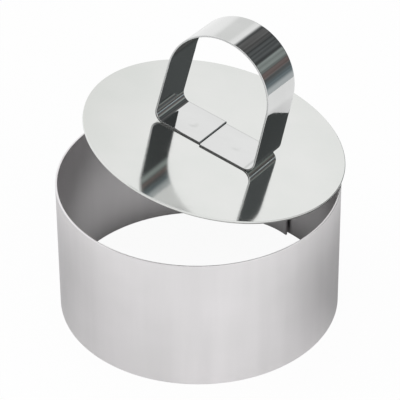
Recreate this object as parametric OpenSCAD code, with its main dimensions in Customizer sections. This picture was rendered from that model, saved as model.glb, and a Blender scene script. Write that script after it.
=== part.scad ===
// Round food ring with a loose pusher: a rolled and lapped steel band, and a flat
// steel disc with a bent strap handle spot welded to it. The pusher stands as the
// user left it, leaning on the ring's rim with its far side up.
// Origin on the ring's axis at its bottom edge, +Z up.

/* [Ring] */
// Outside diameter of the ring
ring_d = 80; // [50:1:150]
// Height of the ring
ring_h = 41.2; // [25:0.2:90]
// Thickness of the sheet that the ring is rolled from
ring_wall = 0.6; // [0.4:0.1:1.2]

/* [Ring seam] */
// Direction of the inner end of the band, in degrees round from +X
seam_az = 47; // [0:1:359]
// Length of the lap, where the band runs inside its own start
lap_len = 9.8; // [8:0.2:14]
// Length of the bend that takes the band in under its own start
joggle_len = 2.8; // [2:0.1:5]
// Gap between the two layers where the lap starts
lap_gap = 0.1; // [0.05:0.05:0.2]
// Further distance that the tip of the inner layer stands in from the outer one
tip_lift = 0.7; // [0:0.1:1.2]
// Diameter of a spot weld in the lap
seam_weld_d = 3; // [2:0.2:4]
// Number of spot welds in the lap
seam_weld_count = 3; // [2:1:5]
// Height of the lowest and highest spot weld in from the ring's edges
seam_weld_inset = 6; // [4:0.5:10]

/* [Pusher plate] */
// Gap all round between the plate and the inside of the ring
bore_gap = 1.8; // [0.5:0.1:3]
// Thickness of the plate
plate_t = 0.8; // [0.6:0.1:1.6]

/* [Handle] */
// Outside width of the handle across its arch
handle_w = 32.8; // [30:0.2:38]
// Height of the handle above the plate
handle_h = 35.3; // [30:0.1:60]
// Width of the strap that the handle is bent from
strap_w = 14.7; // [9:0.1:18]
// Thickness of the strap
strap_t = 0.5; // [0.4:0.1:1]
// Outside radius of the two bends at the foot
foot_bend_r = 3.2; // [2:0.1:5]
// Angle by which each leg leans out towards its foot, in degrees
leg_flare = 1.6; // [0:0.1:4]
// Gap between the strap's two ends, which meet in the foot
strap_end_gap = 0.3; // [0.1:0.05:0.8]
// Distance of those two ends from the middle of the foot
strap_seam_along = -0.9; // [-2:0.1:2]
// Direction of the foot on the plate, in degrees round from +X
handle_az = -32.3; // [-180:0.1:180]
// Distance of the handle from the middle of the plate, along its foot
handle_along = -0.3; // [-1:0.1:1]
// Distance of the handle from the middle of the plate, across its foot
handle_side = 0.8; // [-1:0.1:1]

/* [Handle welds] */
// Diameter of a spot weld in the foot
foot_weld_d = 4; // [3:0.1:5]
// Distance between the two spot welds
foot_weld_pitch = 14.5; // [12:0.5:18]
// Diameter of the round mark that the weld leaves on the metal
mark_d = 3.6; // [2:0.1:4]
// Depth of that mark
mark_depth = 0.08; // [0.04:0.01:0.12]

/* [Resting place of the pusher] */
// Slope of the leaning plate, in degrees
lean = 12.5; // [6:0.5:18]
// Direction in which the plate slopes down, in degrees round from +X
lean_az = -2.1; // [-20:0.1:20]
// Distance that the plate has slid sideways along the rim
slip = 7.5; // [0:0.1:12]
// Distance that the plate reaches past the rim where it leans
rim_reach = 0.5; // [0.3:0.1:3]
// Gap left under the plate where it leans on the rim
rest_gap = 0.3; // [0.1:0.05:0.6]

/* [Hidden] */
$fn = 180;

// Share of each sheet's thickness that a spot weld reaches into
nugget_share = 0.5;
// Overrun of every cut past the face that it opens
cut = 1;

ring_r = ring_d / 2;
bore_r = ring_r - ring_wall;
plate_r = bore_r - bore_gap;

// Directions round the ring: the joggle runs from joggle_az in to lap_az, and the
// inner layer goes on from there to seam_az
lap_deg = lap_len / ring_r * 180 / PI;
joggle_deg = joggle_len / ring_r * 180 / PI;
lap_az = seam_az + lap_deg;
joggle_az = lap_az + joggle_deg;
lap_in = ring_wall + lap_gap;

// The inner layer is an arc that starts lap_in inside the ring's own circle and curls
// in from there: curl_x is the distance of its centre from the ring's axis
lap_r = ring_r - lap_in;
tip_r = lap_r - tip_lift;
curl_x = (lap_r * lap_r - tip_r * tip_r) / (2 * (lap_r - tip_r * cos(lap_deg)));

// The spot welds sit in the tight half of the lap, from the middle of one layer to
// the middle of the other
seam_weld_az = lap_az - lap_deg / 4;
seam_weld_step = (ring_h - 2 * seam_weld_inset) / (seam_weld_count - 1);

arch_r = handle_w / 2;
arch_z = handle_h - arch_r;
bend_x = (arch_z * sin(leg_flare) + arch_r - foot_bend_r * (1 + sin(leg_flare))) / cos(leg_flare);
mark_r = (mark_d * mark_d / 4 + mark_depth * mark_depth) / (2 * mark_depth);

// Where the plate leans: along the slope its edge passes the rim by rim_reach, and
// its underside clears the rim's outer edge by rest_gap
lean_run = sqrt(plate_r * plate_r - slip * slip) - rim_reach;
lean_x = ring_r - lean_run * cos(lean);
lean_z = ring_h + rest_gap + (ring_r - lean_x) * tan(lean) + plate_t / cos(lean);

function polar(r, a) = [r * cos(a), r * sin(a)];

// Slice of the plane from one direction to another, under half a turn
module slice(from_az, to_az) {
    polygon([
        [0, 0],
        polar(ring_d, from_az),
        polar(ring_d, (from_az + to_az) / 2),
        polar(ring_d, to_az)
    ]);
}

// Sheet bent to a circle, by its outside radius
module bent_sheet(r) {
    difference() {
        circle(r = r);
        circle(r = r - ring_wall);
    }
}

module seam_nuggets() {
    for (i = [0 : seam_weld_count - 1])
        rotate(seam_weld_az)
            translate([lap_r - ring_wall * nugget_share, 0, seam_weld_inset + i * seam_weld_step])
                rotate([0, 90, 0])
                    cylinder(d = seam_weld_d, h = lap_gap + 2 * ring_wall * nugget_share);
}

// Where the strip bends inwards. Its outline runs on a little into the sheet at both ends.
module joggle() {
    polygon([
        polar(ring_r, joggle_az),
        polar(lap_r, lap_az),
        polar(lap_r - ring_wall / 2, lap_az - joggle_deg / 4),
        polar(lap_r - ring_wall, lap_az),
        polar(bore_r, joggle_az),
        polar(ring_r - ring_wall / 2, joggle_az + joggle_deg / 4)
    ]);
}

// One strip rolled round, with its end stepped inwards and lapped inside its start
module ring_band() {
    color([0.74, 0.73, 0.74]) difference() {
        union() {
            linear_extrude(ring_h) difference() {
                bent_sheet(ring_r);
                slice(lap_az, joggle_az);
            }
            linear_extrude(ring_h) joggle();
            linear_extrude(ring_h) intersection() {
                rotate(lap_az) translate([curl_x, 0]) bent_sheet(lap_r - curl_x);
                slice(seam_az, lap_az);
            }
        }
        seam_nuggets();
    }
}

module ring_seam_welds() {
    color([0.55, 0.54, 0.55]) seam_nuggets();
}

// Places the pusher, whose own origin is the middle of the plate's top face
module on_pusher() {
    rotate(lean_az)
        translate([lean_x, slip, lean_z])
            rotate([0, lean, 0])
                rotate(-lean_az)
                    children();
}

module at_foot_welds() {
    for (side = [-1, 1])
        rotate(handle_az)
            translate([handle_along + side * foot_weld_pitch / 2, 0, 0])
                children();
}

module foot_nuggets() {
    at_foot_welds()
        translate([0, 0, -plate_t * nugget_share])
            cylinder(d = foot_weld_d, h = (plate_t + strap_t) * nugget_share);
}

// Shallow round hollow that the welding tip leaves, opening upwards at z = 0
module weld_mark() {
    intersection() {
        translate([0, 0, mark_r - mark_depth]) sphere(r = mark_r);
        translate([0, 0, -cut]) cylinder(d = mark_d, h = 2 * cut);
    }
}

// Plain round disc that fits down the ring
module pusher_plate() {
    color([0.80, 0.82, 0.80]) on_pusher() difference() {
        translate([0, 0, -plate_t]) cylinder(r = plate_r, h = plate_t);
        foot_nuggets();
        at_foot_welds() translate([0, 0, -plate_t]) mirror([0, 0, 1]) weld_mark();
    }
}

// Closed outline of the handle: foot, two bends, two legs and a round arch
module strap_outline(inset) {
    arch = arch_r - inset;
    bend = foot_bend_r - inset;
    leg = [cos(leg_flare), sin(leg_flare)];
    translate([0, arch_z]) intersection() {
        circle(r = arch);
        translate([-arch, 0]) square([2 * arch, arch]);
    }
    for (side = [-1, 1])
        scale([side, 1]) {
            translate([bend_x, foot_bend_r]) circle(r = bend);
            polygon([
                [0, inset],
                [bend_x, inset],
                [bend_x, foot_bend_r] + bend * leg,
                [0, arch_z] + arch * leg,
                [0, arch_z + arch * sin(leg_flare)]
            ]);
        }
}

// The handle as seen along the strap's width, with its two ends butted in the foot
module strap_loop() {
    difference() {
        strap_outline(0);
        strap_outline(strap_t);
        translate([strap_seam_along - strap_end_gap / 2, -cut])
            square([strap_end_gap, strap_t + 2 * cut]);
    }
}

// Strap bent round to a loop and set down on the plate
module handle_strap() {
    color([0.86, 0.87, 0.87]) on_pusher() difference() {
        rotate(handle_az)
            translate([handle_along, handle_side, 0])
                rotate([90, 0, 0])
                    linear_extrude(strap_w, center = true) strap_loop();
        foot_nuggets();
        at_foot_welds() translate([0, 0, strap_t]) weld_mark();
    }
}

module handle_welds() {
    color([0.55, 0.55, 0.54]) on_pusher() foot_nuggets();
}

ring_band();
ring_seam_welds();
pusher_plate();
handle_strap();
handle_welds();
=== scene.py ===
import math

import bmesh
import bpy
from mathutils import Matrix, Quaternion, Vector


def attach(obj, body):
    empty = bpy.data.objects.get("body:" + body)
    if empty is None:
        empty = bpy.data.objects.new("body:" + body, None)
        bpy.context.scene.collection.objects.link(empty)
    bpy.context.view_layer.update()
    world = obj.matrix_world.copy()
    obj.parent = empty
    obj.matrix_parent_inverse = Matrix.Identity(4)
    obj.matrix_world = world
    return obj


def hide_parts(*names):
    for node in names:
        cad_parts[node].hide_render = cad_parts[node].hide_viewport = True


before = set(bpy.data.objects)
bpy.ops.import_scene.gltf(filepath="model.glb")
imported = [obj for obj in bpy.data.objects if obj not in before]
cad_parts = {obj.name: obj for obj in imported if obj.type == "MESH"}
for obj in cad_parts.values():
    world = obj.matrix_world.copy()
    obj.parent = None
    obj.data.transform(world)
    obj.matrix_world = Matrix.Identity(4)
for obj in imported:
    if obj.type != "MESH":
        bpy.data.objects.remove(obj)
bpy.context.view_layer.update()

# Camera
# A long lens from a little over table height, as for a catalogue picture. It looks
# down at 36 degrees and is turned by half a degree, because the ring stands so.
lens_elevation = math.radians(36.47)
lens_distance = 0.72048
lens_aim = Vector((0.000442, 0, 0.033876))
lens_turn = -0.0080014

camera_data = bpy.data.cameras.new("camera")
camera_data.lens = 230.57
camera_data.sensor_width = 36
camera = bpy.data.objects.new("camera", camera_data)
bpy.context.scene.collection.objects.link(camera)
lens_back = Vector((0, -math.cos(lens_elevation), math.sin(lens_elevation)))
camera.location = lens_aim + lens_back * lens_distance
camera.rotation_mode = "QUATERNION"
camera.rotation_quaternion = (-lens_back).to_track_quat("-Z", "Y") @ Quaternion((0, 0, 1), lens_turn)
camera_data.clip_start = 0.01
camera_data.clip_end = 20
bpy.context.scene.camera = camera

# Ring band
# One strip of satin stainless sheet, rolled round until its end laps inside its start.
# A small joggle beside the lap takes the end in, and the tip springs away a little.
ring_r = 0.040
ring_h = 0.0412
ring_wall = 0.0006
ring_edge = 0.00012
lap_az = math.radians(61.04)
joggle_az = math.radians(65.05)
lap_in = 0.0007
curl_x = 0.01477
curl_turn = math.radians(22.43)


def rounded_bar(bm, wide, high, edge, rows, place):
    """Outline of a sheet's cut end, wide along X and high along Z, with its corners rounded."""
    lay = place @ Matrix.Rotation(math.radians(90), 4, "X") @ Matrix.Diagonal((wide, high, 1, 1))
    bmesh.ops.create_grid(bm, x_segments=1, y_segments=1, size=0.5, matrix=lay)
    bmesh.ops.bevel(
        bm, geom=bm.verts[:], offset=edge, offset_type="OFFSET", segments=3,
        profile=0.5, affect="VERTICES", material=-1,
    )
    bmesh.ops.delete(bm, geom=bm.faces[:], context="FACES_ONLY")
    tall = [e for e in bm.edges if e.calc_length() > max(wide, high) / 2]
    bmesh.ops.subdivide_edges(bm, edges=tall, cuts=rows)
    return bm.edges[:]


def edges_of(geom):
    return [g for g in geom if isinstance(g, bmesh.types.BMEdge)]


def verts_of(edges):
    return list({v for e in edges for v in e.verts})


def swing(bm, edges, centre, axis, angle, steps, drift=(0, 0, 0)):
    """Carries an outline round a centre, and returns the outline at the far end."""
    step = Vector(drift) / steps
    swept = bmesh.ops.spin(
        bm, geom=edges + verts_of(edges), cent=centre, axis=axis, dvec=step,
        angle=angle, steps=steps, use_merge=False, use_duplicate=False,
    )
    return edges_of(swept["geom_last"])


def push(bm, edges, way, steps):
    """Carries an outline straight on, and returns the outline at the far end."""
    for _ in range(steps):
        grown = bmesh.ops.extrude_edge_only(bm, edges=edges)["geom"]
        edges = edges_of(grown)
        edges = [e for e in edges if len(e.link_faces) == 1]
        bmesh.ops.translate(bm, verts=verts_of(edges), vec=Vector(way) / steps)
    return edges


def steel_object(bm, name):
    """Makes a piece from the finished mesh, shaded smooth with its wide faces kept true."""
    bmesh.ops.remove_doubles(bm, verts=bm.verts[:], dist=1e-7)
    bmesh.ops.recalc_face_normals(bm, faces=bm.faces[:])
    for face in bm.faces:
        face.smooth = True
    mesh = bpy.data.meshes.new(name)
    bm.to_mesh(mesh)
    bm.free()
    piece = bpy.data.objects.new(name, mesh)
    bpy.context.scene.collection.objects.link(piece)
    true_faces = piece.modifiers.new("true_faces", "WEIGHTED_NORMAL")
    true_faces.mode = "FACE_AREA"
    true_faces.weight = 100
    return piece


band = bmesh.new()
band_start = Matrix.Rotation(joggle_az, 4, "Z") @ Matrix.Translation((ring_r - ring_wall / 2, 0, ring_h / 2))
start_edges = rounded_bar(band, ring_wall, ring_h, ring_edge, 11, band_start)
outer_end = swing(band, start_edges, (0, 0, 0), (0, 0, 1), math.tau - (joggle_az - lap_az), 712)
inner_edges = start_edges
joggle_steps = 8
inward = Vector((-math.cos(joggle_az), -math.sin(joggle_az), 0))
turn = (lap_az - joggle_az) / joggle_steps
for i in range(joggle_steps):
    grown = bmesh.ops.extrude_edge_only(band, edges=inner_edges)["geom"]
    inner_edges = [e for e in edges_of(grown) if len(e.link_faces) == 1]
    step_verts = verts_of(inner_edges)
    was = i / joggle_steps
    now = (i + 1) / joggle_steps
    sink = lap_in * (now * now * (3 - 2 * now) - was * was * (3 - 2 * was))
    bmesh.ops.rotate(band, verts=step_verts, cent=(0, 0, 0), matrix=Matrix.Rotation(turn, 3, "Z"))
    inward.rotate(Matrix.Rotation(turn, 3, "Z"))
    bmesh.ops.translate(band, verts=step_verts, vec=inward * sink)
curl_centre = (curl_x * math.cos(lap_az), curl_x * math.sin(lap_az), 0)
inner_end = swing(band, inner_edges, curl_centre, (0, 0, 1), -curl_turn, 44)
bmesh.ops.edgeloop_fill(band, edges=outer_end)
bmesh.ops.edgeloop_fill(band, edges=inner_end)
ring_piece = steel_object(band, "ring_sheet")


def steel(name, colour, roughness):
    """Bare steel: gives the material, its nodes, links and shader to add the finish to."""
    material = bpy.data.materials.new(name)
    material.use_nodes = True
    nodes = material.node_tree.nodes
    links = material.node_tree.links
    shader = nodes["Principled BSDF"]
    shader.inputs["Metallic"].default_value = 1
    shader.inputs["Base Color"].default_value = (*colour, 1)
    shader.inputs["Roughness"].default_value = roughness
    return material, nodes, links, shader


def grain(nodes, links, turned, stretch, detail=3):
    """Noise on the piece's own coordinates, drawn out along the way the steel was rolled."""
    place = nodes.new("ShaderNodeTexCoord")
    lay = nodes.new("ShaderNodeMapping")
    lay.inputs["Rotation"].default_value = turned
    lay.inputs["Scale"].default_value = stretch
    noise = nodes.new("ShaderNodeTexNoise")
    noise.inputs["Scale"].default_value = 1
    noise.inputs["Detail"].default_value = detail
    links.new(place.outputs["Object"], lay.inputs["Vector"])
    links.new(lay.outputs["Vector"], noise.inputs["Vector"])
    return noise.outputs["Fac"]


def spread(nodes, links, value, low, high, from_low=0.3, from_high=0.7):
    """Sets the range that a pattern moves in."""
    span = nodes.new("ShaderNodeMapRange")
    span.inputs["From Min"].default_value = from_low
    span.inputs["From Max"].default_value = from_high
    span.inputs["To Min"].default_value = low
    span.inputs["To Max"].default_value = high
    links.new(value, span.inputs["Value"])
    return span.outputs["Result"]


def tint(nodes, links, value, dark, light):
    """Colours a pattern from one shade of the steel to another."""
    ramp = nodes.new("ShaderNodeValToRGB")
    ramp.color_ramp.elements[0].position = 0.3
    ramp.color_ramp.elements[0].color = (*dark, 1)
    ramp.color_ramp.elements[1].position = 0.7
    ramp.color_ramp.elements[1].color = (*light, 1)
    links.new(value, ramp.inputs["Fac"])
    return ramp.outputs["Color"]


def relief(nodes, links, shader, value, depth, strength):
    """Raises a pattern on the surface by its real depth in metres."""
    bump = nodes.new("ShaderNodeBump")
    bump.inputs["Distance"].default_value = depth
    bump.inputs["Strength"].default_value = strength
    links.new(value, bump.inputs["Height"])
    links.new(bump.outputs["Normal"], shader.inputs["Normal"])
    return bump


satin, satin_nodes, satin_links, satin_shader = steel("satin_steel", (0.85, 0.835, 0.84), 0.3)
satin_lines = grain(satin_nodes, satin_links, (0, 0, 0), (60, 60, 5000), 4)
satin_cloud = grain(satin_nodes, satin_links, (0, 0, 0), (45, 45, 60), 2)
satin_links.new(
    tint(satin_nodes, satin_links, satin_cloud, (0.83, 0.815, 0.82), (0.87, 0.85, 0.86)),
    satin_shader.inputs["Base Color"],
)
satin_links.new(spread(satin_nodes, satin_links, satin_lines, 0.28, 0.31), satin_shader.inputs["Roughness"])
relief(satin_nodes, satin_links, satin_shader, satin_lines, 0.000002, 0.2)
satin_rolls = grain(satin_nodes, satin_links, (0, 0, 0), (150, 150, 14), 3)
satin_rub = satin_nodes.new("ShaderNodeMix")
satin_rub.data_type = "RGBA"
satin_rub.blend_type = "MULTIPLY"
satin_rub.inputs[0].default_value = 1
satin_links.new(satin_shader.inputs["Base Color"].links[0].from_socket, satin_rub.inputs[6])
satin_links.new(tint(satin_nodes, satin_links, satin_rolls, (0.94, 0.94, 0.94), (1, 1, 1)), satin_rub.inputs[7])
satin_links.new(satin_rub.outputs[2], satin_shader.inputs["Base Color"])
ring_piece.data.materials.append(satin)
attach(ring_piece, "ring")
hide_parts("ring_band")

# Seam welds of the ring
# Three spot welds in the lap, one above another, where the two layers have melted
# together between the welding tips.
nugget, nugget_nodes, nugget_links, nugget_shader = steel("weld_steel", (0.5, 0.48, 0.46), 0.45)
nugget_skin = grain(nugget_nodes, nugget_links, (0, 0, 0), (1800, 1800, 1800), 3)
nugget_links.new(
    tint(nugget_nodes, nugget_links, nugget_skin, (0.42, 0.38, 0.34), (0.58, 0.57, 0.56)),
    nugget_shader.inputs["Base Color"],
)
nugget_links.new(spread(nugget_nodes, nugget_links, nugget_skin, 0.35, 0.55), nugget_shader.inputs["Roughness"])
relief(nugget_nodes, nugget_links, nugget_shader, nugget_skin, 0.00002, 0.5)
seam_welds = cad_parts["ring_seam_welds"]
seam_welds.data.materials.clear()
seam_welds.data.materials.append(nugget)

# Pusher plate
# A flat disc stamped from polished stainless sheet, a little smaller than the ring's
# bore. Stamping leaves its edge rounded on top and square below.
plate_r = 0.0376
plate_t = 0.0008
plate_edge = 0.0002
lean = math.radians(12.5)
lean_az = math.radians(-2.1)
handle_az = math.radians(-32.3)
plate_middle = Vector((0.004789, 0.007329, 0.050186))
plate_turn = Matrix.Rotation(lean_az, 4, "Z") @ Matrix.Rotation(lean, 4, "Y") @ Matrix.Rotation(-lean_az, 4, "Z")
pusher_place = Matrix.Translation(plate_middle) @ plate_turn
handle_place = pusher_place @ Matrix.Rotation(handle_az, 4, "Z")

disc = bmesh.new()
bmesh.ops.create_circle(
    disc, cap_ends=True, cap_tris=False, segments=360, radius=plate_r,
    matrix=Matrix.Translation((0, 0, -plate_t)),
)
raised = bmesh.ops.extrude_face_region(disc, geom=disc.faces[:])["geom"]
raised_verts = [g for g in raised if isinstance(g, bmesh.types.BMVert)]
bmesh.ops.translate(disc, verts=raised_verts, vec=(0, 0, plate_t))
bmesh.ops.recalc_face_normals(disc, faces=disc.faces[:])
rim = [e for e in disc.edges if abs(e.verts[0].co.z - e.verts[1].co.z) < 1e-6]
bmesh.ops.bevel(
    disc, geom=rim, offset=plate_edge, offset_type="OFFSET", segments=3,
    profile=0.5, affect="EDGES", material=-1,
)
bmesh.ops.transform(disc, matrix=pusher_place, verts=disc.verts[:])
plate_piece = steel_object(disc, "pusher_disc")

handle_tilt = handle_place.to_3x3().inverted().to_euler()
polish, polish_nodes, polish_links, polish_shader = steel("polished_plate", (0.77, 0.78, 0.765), 0.08)
polish_lines = grain(polish_nodes, polish_links, handle_tilt, (70, 5200, 70), 3)
polish_cloud = grain(polish_nodes, polish_links, handle_tilt, (60, 60, 60), 2)
polish_links.new(
    tint(polish_nodes, polish_links, polish_cloud, (0.755, 0.77, 0.75), (0.79, 0.795, 0.78)),
    polish_shader.inputs["Base Color"],
)
polish_links.new(spread(polish_nodes, polish_links, polish_lines, 0.06, 0.10), polish_shader.inputs["Roughness"])
relief(polish_nodes, polish_links, polish_shader, polish_cloud, 0.00002, 0.15)
plate_piece.data.materials.append(polish)
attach(plate_piece, "pusher")
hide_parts("pusher_plate")

# Handle strap
# One strip of bright polished stainless, bent round to a loop. Its two ends butt in
# the middle of the foot, where the strip has wandered sideways by under a millimetre.
strap_w = 0.0147
strap_t = 0.0005
strap_edge = 0.00016
handle_w = 0.0328
handle_h = 0.0353
foot_bend_r = 0.0032
leg_flare = math.radians(1.6)
strap_end_gap = 0.0004
strap_seam_along = -0.0009
strap_wander = 0.0008
handle_along = -0.0003
handle_side = 0.0008
mark_r = 0.0019
mark_depth = 0.00004
weld_pitch = 0.0145

arch_r = handle_w / 2
arch_z = handle_h - arch_r
lean_in = math.sin(leg_flare)
bend_x = (arch_z * lean_in + arch_r - foot_bend_r * (1 + lean_in)) / math.cos(leg_flare)
leg_out = Vector((math.cos(leg_flare), 0, math.sin(leg_flare)))
leg_top = Vector((0, 0, arch_z)) + leg_out * arch_r
leg_foot = Vector((bend_x, 0, foot_bend_r)) + leg_out * foot_bend_r
leg_run = leg_top - leg_foot

strap = bmesh.new()
strap_start = (
    Matrix.Translation((strap_seam_along + strap_end_gap / 2, -strap_wander / 2, strap_t / 2))
    @ Matrix.Rotation(math.radians(90), 4, "Z")
)
first_end = rounded_bar(strap, strap_w, strap_t, strap_edge, 48, strap_start)
drift = strap_wander / 4
way = push(strap, first_end, (bend_x - strap_seam_along - strap_end_gap / 2, 0, 0), 46)
way = swing(strap, way, (bend_x, 0, foot_bend_r), (0, -1, 0), math.pi / 2 + leg_flare, 20)
way = push(strap, way, (leg_run.x, drift, leg_run.z), 30)
way = swing(strap, way, (0, 0, arch_z), (0, -1, 0), math.pi - 2 * leg_flare, 130, (0, 2 * drift, 0))
way = push(strap, way, (leg_run.x, drift, -leg_run.z), 30)
way = swing(strap, way, (-bend_x, 0, foot_bend_r), (0, -1, 0), math.pi / 2 + leg_flare, 20)
way = push(strap, way, (bend_x + strap_seam_along - strap_end_gap / 2, 0, 0), 42)
bmesh.ops.edgeloop_fill(strap, edges=first_end)
bmesh.ops.edgeloop_fill(strap, edges=way)
for side in (-1, 1):
    for vert in strap.verts:
        off = math.hypot(vert.co.x - side * weld_pitch / 2, vert.co.y + handle_side)
        if off < mark_r and strap_t * 0.9 < vert.co.z < strap_t * 1.1:
            vert.co.z -= mark_depth * (1 - (off / mark_r) ** 2) ** 2
strap_place = handle_place @ Matrix.Translation((handle_along, handle_side, 0))
strap.normal_update()
for face in strap.faces:
    cut_end = len(face.verts) > 4 or abs(face.normal.y) > 0.5
    face.material_index = 1 if cut_end else 0
bmesh.ops.transform(strap, matrix=strap_place, verts=strap.verts[:])
strap_piece = steel_object(strap, "handle_loop")

bright, bright_nodes, bright_links, bright_shader = steel("bright_strap", (0.735, 0.74, 0.735), 0.04)
bright_lines = grain(bright_nodes, bright_links, handle_tilt, (60, 4200, 60), 3)
bright_cloud = grain(bright_nodes, bright_links, handle_tilt, (70, 160, 70), 2)
bright_links.new(
    tint(bright_nodes, bright_links, bright_cloud, (0.72, 0.725, 0.72), (0.75, 0.755, 0.75)),
    bright_shader.inputs["Base Color"],
)
bright_links.new(spread(bright_nodes, bright_links, bright_lines, 0.03, 0.06), bright_shader.inputs["Roughness"])
relief(bright_nodes, bright_links, bright_shader, bright_cloud, 0.00002, 0.2)
strap_piece.data.materials.append(bright)

slit, slit_nodes, slit_links, slit_shader = steel("slit_edge_painted_shade", (0.5, 0.5, 0.5), 0.3)
slit_skin = grain(slit_nodes, slit_links, handle_tilt, (900, 900, 900), 3)
# The cut edges are a duller grey, with painted shade over that: full dark up to half a millimetre above the
# plate, where the foot's edges meet it, fading to the edge's own grey by 3 mm up.
slit_place = slit_nodes.new("ShaderNodeTexCoord")
slit_lay = slit_nodes.new("ShaderNodeMapping")
slit_lay.vector_type = "TEXTURE"
slit_lay.inputs["Location"].default_value = strap_place.to_translation()
slit_lay.inputs["Rotation"].default_value = strap_place.to_euler()
slit_links.new(slit_place.outputs["Object"], slit_lay.inputs["Vector"])
slit_axes = slit_nodes.new("ShaderNodeSeparateXYZ")
slit_links.new(slit_lay.outputs["Vector"], slit_axes.inputs[0])
slit_links.new(
    tint(
        slit_nodes, slit_links,
        spread(slit_nodes, slit_links, slit_axes.outputs["Z"], 0.3, 0.7, 0.0005, 0.003),
        (0.17, 0.17, 0.17), (0.6, 0.605, 0.605),
    ),
    slit_shader.inputs["Base Color"],
)
slit_links.new(spread(slit_nodes, slit_links, slit_skin, 0.22, 0.4), slit_shader.inputs["Roughness"])
relief(slit_nodes, slit_links, slit_shader, slit_skin, 0.00001, 0.4)
strap_piece.data.materials.append(slit)
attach(strap_piece, "pusher")
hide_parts("handle_strap")

# Handle welds
# Two spot welds through the foot into the plate. The steel of the foot and the plate
# has melted together there under the welding tips.
foot_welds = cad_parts["handle_welds"]
foot_welds.data.materials.clear()
foot_welds.data.materials.append(nugget)

# Floor
# A round white table that the ring stands on. It shows white to the camera. The steel sees it lit, with painted
# light
# over that near the ring: brightest in front, painted darker round both sides, and a painted shadow inside the
# ring's wall.
table_mesh = bmesh.new()
bmesh.ops.create_circle(table_mesh, cap_ends=True, segments=96, radius=0.23)
table_data = bpy.data.meshes.new("floor")
table_mesh.to_mesh(table_data)
table_mesh.free()
floor = bpy.data.objects.new("floor", table_data)
bpy.context.scene.collection.objects.link(floor)
table_white = bpy.data.materials.new("table_white")
table_white.use_nodes = True
table_nodes = table_white.node_tree.nodes
table_links = table_white.node_tree.links
table_nodes.clear()
table_place = table_nodes.new("ShaderNodeTexCoord")
table_round = table_nodes.new("ShaderNodeTexGradient")
table_round.gradient_type = "RADIAL"
table_links.new(table_place.outputs["Object"], table_round.inputs["Vector"])
# Painted light and shade on the table near the ring, by direction round it: brightest in front, painted shade to
# the right and behind.
painted_light_falloff = table_nodes.new("ShaderNodeValToRGB")
painted_light_falloff_stops = (
    (-180, 0.6), (180, 0.6), (-140, 0.8), (-77, 1.0), (-45, 0.86), (-8, 0.46), (30, 0.42), (90, 0.6),
)
for stop_number, (stop_az, stop_white) in enumerate(painted_light_falloff_stops):
    if stop_number < 2:
        stop = painted_light_falloff.color_ramp.elements[stop_number]
    else:
        stop = painted_light_falloff.color_ramp.elements.new((stop_az + 180) / 360)
    stop.position = (stop_az + 180) / 360
    stop.color = (stop_white, stop_white, stop_white, 1)
table_links.new(table_round.outputs["Fac"], painted_light_falloff.inputs["Fac"])
table_out_from = table_nodes.new("ShaderNodeVectorMath")
table_out_from.operation = "LENGTH"
table_links.new(table_place.outputs["Object"], table_out_from.inputs[0])
# From 55 to 110 mm out from the middle the painted light and shade fade to plain white.
clear_table = table_nodes.new("ShaderNodeMapRange")
clear_table.interpolation_type = "SMOOTHSTEP"
clear_table.inputs["From Min"].default_value = 0.055
clear_table.inputs["From Max"].default_value = 0.11
table_links.new(table_out_from.outputs["Value"], clear_table.inputs["Value"])
nearness = table_nodes.new("ShaderNodeMapRange")
nearness.inputs["From Max"].default_value = 0.1
table_links.new(table_out_from.outputs["Value"], nearness.inputs["Value"])
# Painted shadow of the ring on the table, seen only in the steel: 0.9 in the middle, darkest just inside the
# ring's wall, 0.66 outside it.
painted_ring_shade = table_nodes.new("ShaderNodeValToRGB")
painted_ring_shade_stops = ((0, 0.9), (1, 0.66), (0.26, 0.88), (0.394, 0.16), (0.398, 0.66))
for stop_number, (stop_out, stop_white) in enumerate(painted_ring_shade_stops):
    if stop_number < 2:
        stop = painted_ring_shade.color_ramp.elements[stop_number]
    else:
        stop = painted_ring_shade.color_ramp.elements.new(stop_out)
    stop.position = stop_out
    stop.color = (stop_white, stop_white, stop_white, 1)
table_links.new(nearness.outputs["Result"], painted_ring_shade.inputs["Fac"])
path = table_nodes.new("ShaderNodeLightPath")
open_table = table_nodes.new("ShaderNodeMath")
open_table.operation = "MAXIMUM"
table_links.new(path.outputs["Is Camera Ray"], open_table.inputs[0])
table_links.new(clear_table.outputs["Result"], open_table.inputs[1])
table_tone = table_nodes.new("ShaderNodeMix")
table_tone.data_type = "RGBA"
table_links.new(open_table.outputs[0], table_tone.inputs[0])
table_links.new(painted_light_falloff.outputs["Color"], table_tone.inputs[6])
table_tone.inputs[7].default_value = (1, 1, 1, 1)
matt = table_nodes.new("ShaderNodeBsdfDiffuse")
table_links.new(table_tone.outputs[2], matt.inputs["Color"])
shine = table_nodes.new("ShaderNodeEmission")
table_links.new(table_tone.outputs[2], shine.inputs["Color"])
# The painted shadow sets how strongly the table glows to the steel; to the camera it glows evenly at 1.
shine_shade = table_nodes.new("ShaderNodeMath")
shine_shade.operation = "MULTIPLY"
shine_shade.inputs[1].default_value = 1.5
table_links.new(painted_ring_shade.outputs["Color"], shine_shade.inputs[0])
shine_seen = table_nodes.new("ShaderNodeMix")
table_links.new(path.outputs["Is Camera Ray"], shine_seen.inputs[0])
table_links.new(shine_shade.outputs[0], shine_seen.inputs[2])
shine_seen.inputs[3].default_value = 1
table_links.new(shine_seen.outputs[0], shine.inputs["Strength"])
seen = table_nodes.new("ShaderNodeMath")
seen.operation = "MULTIPLY"
seen.inputs[1].default_value = 0.94
table_links.new(path.outputs["Is Camera Ray"], seen.inputs[0])
seen_all = table_nodes.new("ShaderNodeMath")
seen_all.operation = "MULTIPLY_ADD"
seen_all.inputs[1].default_value = 0.36
table_links.new(path.outputs["Is Glossy Ray"], seen_all.inputs[0])
table_links.new(seen.outputs[0], seen_all.inputs[2])
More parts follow.
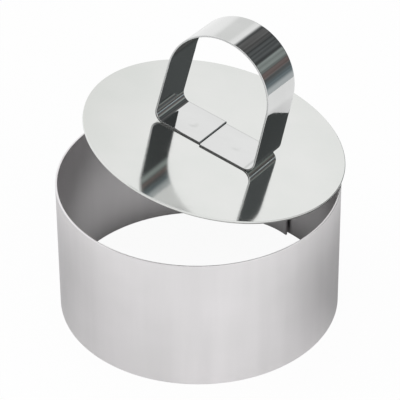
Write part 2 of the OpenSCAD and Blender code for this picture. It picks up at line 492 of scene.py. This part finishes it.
table_mix = table_nodes.new("ShaderNodeMixShader")
table_links.new(seen_all.outputs[0], table_mix.inputs["Fac"])
table_links.new(matt.outputs[0], table_mix.inputs[1])
table_links.new(shine.outputs[0], table_mix.inputs[2])
table_out = table_nodes.new("ShaderNodeOutputMaterial")
table_links.new(table_mix.outputs[0], table_out.inputs["Surface"])
table_data.materials.append(table_white)

# Studio light
# A white tent all round, as for bright metal, with the dark side of the room showing
# through its opening at the right and behind. The camera itself sees plain white.
world = bpy.data.worlds.new("studio")
bpy.context.scene.world = world
world.use_nodes = True
tent_nodes = world.node_tree.nodes
tent_links = world.node_tree.links
tent_nodes.clear()


def sum_of(operation, first, second=None):
    node = tent_nodes.new("ShaderNodeMath")
    node.operation = operation
    for slot_number, part in enumerate((first, second)):
        if part is None:
            continue
        if isinstance(part, (int, float)):
            node.inputs[slot_number].default_value = part
        else:
            tent_links.new(part, node.inputs[slot_number])
    return node.outputs[0]


def opening(value, low, high, soft_low, soft_high):
    """One between two directions in degrees, and fading to nought past them."""
    edges = []
    for edge, soft, rising in ((low, soft_low, True), (high, soft_high, False)):
        fade = tent_nodes.new("ShaderNodeMapRange")
        fade.interpolation_type = "SMOOTHSTEP"
        fade.inputs["From Min"].default_value = edge - soft
        fade.inputs["From Max"].default_value = edge + soft
        fade.inputs["To Min"].default_value = 0 if rising else 1
        fade.inputs["To Max"].default_value = 1 if rising else 0
        tent_links.new(value, fade.inputs["Value"])
        edges.append(fade.outputs["Result"])
    return sum_of("MULTIPLY", *edges)


way_out = tent_nodes.new("ShaderNodeTexCoord")
parts = tent_nodes.new("ShaderNodeSeparateXYZ")
tent_links.new(way_out.outputs["Generated"], parts.inputs[0])
azimuth = sum_of("MULTIPLY", sum_of("ARCTAN2", parts.outputs["Y"], parts.outputs["X"]), 180 / math.pi)
height = sum_of("MULTIPLY", sum_of("ARCSINE", parts.outputs["Z"]), 180 / math.pi)


def layer(below, azimuths, heights, softness, colour):
    """Lays one patch of the room over what is there, by its azimuths and heights."""
    over = sum_of(
        "MULTIPLY",
        opening(azimuth, *azimuths, softness[0], softness[0]),
        opening(height, *heights, softness[1], softness[1]),
    )
    mix = tent_nodes.new("ShaderNodeMix")
    mix.data_type = "RGBA"
    tent_links.new(over, mix.inputs["Factor"])
    colour_a = mix.inputs[6]
    colour_b = mix.inputs[7]
    if isinstance(below, tuple):
        colour_a.default_value = (*below, 1)
    else:
        tent_links.new(below, colour_a)
    colour_b.default_value = (*colour, 1)
    return mix.outputs[2]


room = layer((1, 1, 1), (75.5, 90), (8, 52), (2.5, 4), (0.84, 0.845, 0.835))
room = layer(room, (62, 92), (2, 29), (3, 3), (0.82, 0.825, 0.82))
room = layer(room, (64, 82), (-10, 15), (3, 5), (0.45, 0.45, 0.45))
room = layer(room, (8, 66), (-32, 50), (3, 4), (0.095, 0.102, 0.104))
room = layer(room, (46, 62), (28, 44), (4, 3), (0.15, 0.15, 0.15))
room = layer(room, (17, 30), (8.5, 19), (3, 2), (0.26, 0.29, 0.28))
room = layer(room, (12, 26), (1.5, 8), (3, 1.5), (0.155, 0.125, 0.12))
room = layer(room, (8, 40), (-14, -4), (4, 2), (0.17, 0.205, 0.22))
room = layer(room, (8, 66), (-32, -11.5), (4, 3), (0.47, 0.5, 0.51))
room = layer(room, (-155, -98), (18, 47), (6, 5), (0.2, 0.2, 0.2))
clutter = tent_nodes.new("ShaderNodeTexNoise")
clutter.inputs["Scale"].default_value = 14
clutter.inputs["Detail"].default_value = 4
tent_links.new(way_out.outputs["Generated"], clutter.inputs["Vector"])
clutter_shades = tent_nodes.new("ShaderNodeMapRange")
clutter_shades.inputs["From Min"].default_value = 0.35
clutter_shades.inputs["From Max"].default_value = 0.65
clutter_shades.inputs["To Min"].default_value = 0.55
clutter_shades.inputs["To Max"].default_value = 1.35
tent_links.new(clutter.outputs["Fac"], clutter_shades.inputs["Value"])
dark_side = tent_nodes.new("ShaderNodeMix")
dark_side.data_type = "RGBA"
dark_side.blend_type = "MULTIPLY"
tent_links.new(
    sum_of("MULTIPLY", opening(azimuth, 8, 63, 3, 3), opening(height, -10, 46, 3, 4)),
    dark_side.inputs[0],
)
tent_links.new(room, dark_side.inputs[6])
tent_links.new(clutter_shades.outputs["Result"], dark_side.inputs[7])
room = dark_side.outputs[2]
room_light = tent_nodes.new("ShaderNodeBackground")
tent_links.new(room, room_light.inputs["Color"])
plain_white = tent_nodes.new("ShaderNodeBackground")
plain_white.inputs["Color"].default_value = (1, 1, 1, 1)
tent_path = tent_nodes.new("ShaderNodeLightPath")
tent_mix = tent_nodes.new("ShaderNodeMixShader")
tent_links.new(tent_path.outputs["Is Camera Ray"], tent_mix.inputs["Fac"])
tent_links.new(room_light.outputs[0], tent_mix.inputs[1])
tent_links.new(plain_white.outputs[0], tent_mix.inputs[2])
tent_out = tent_nodes.new("ShaderNodeOutputWorld")
tent_links.new(tent_mix.outputs[0], tent_out.inputs["Surface"])

bpy.context.scene.view_settings.view_transform = "Standard"
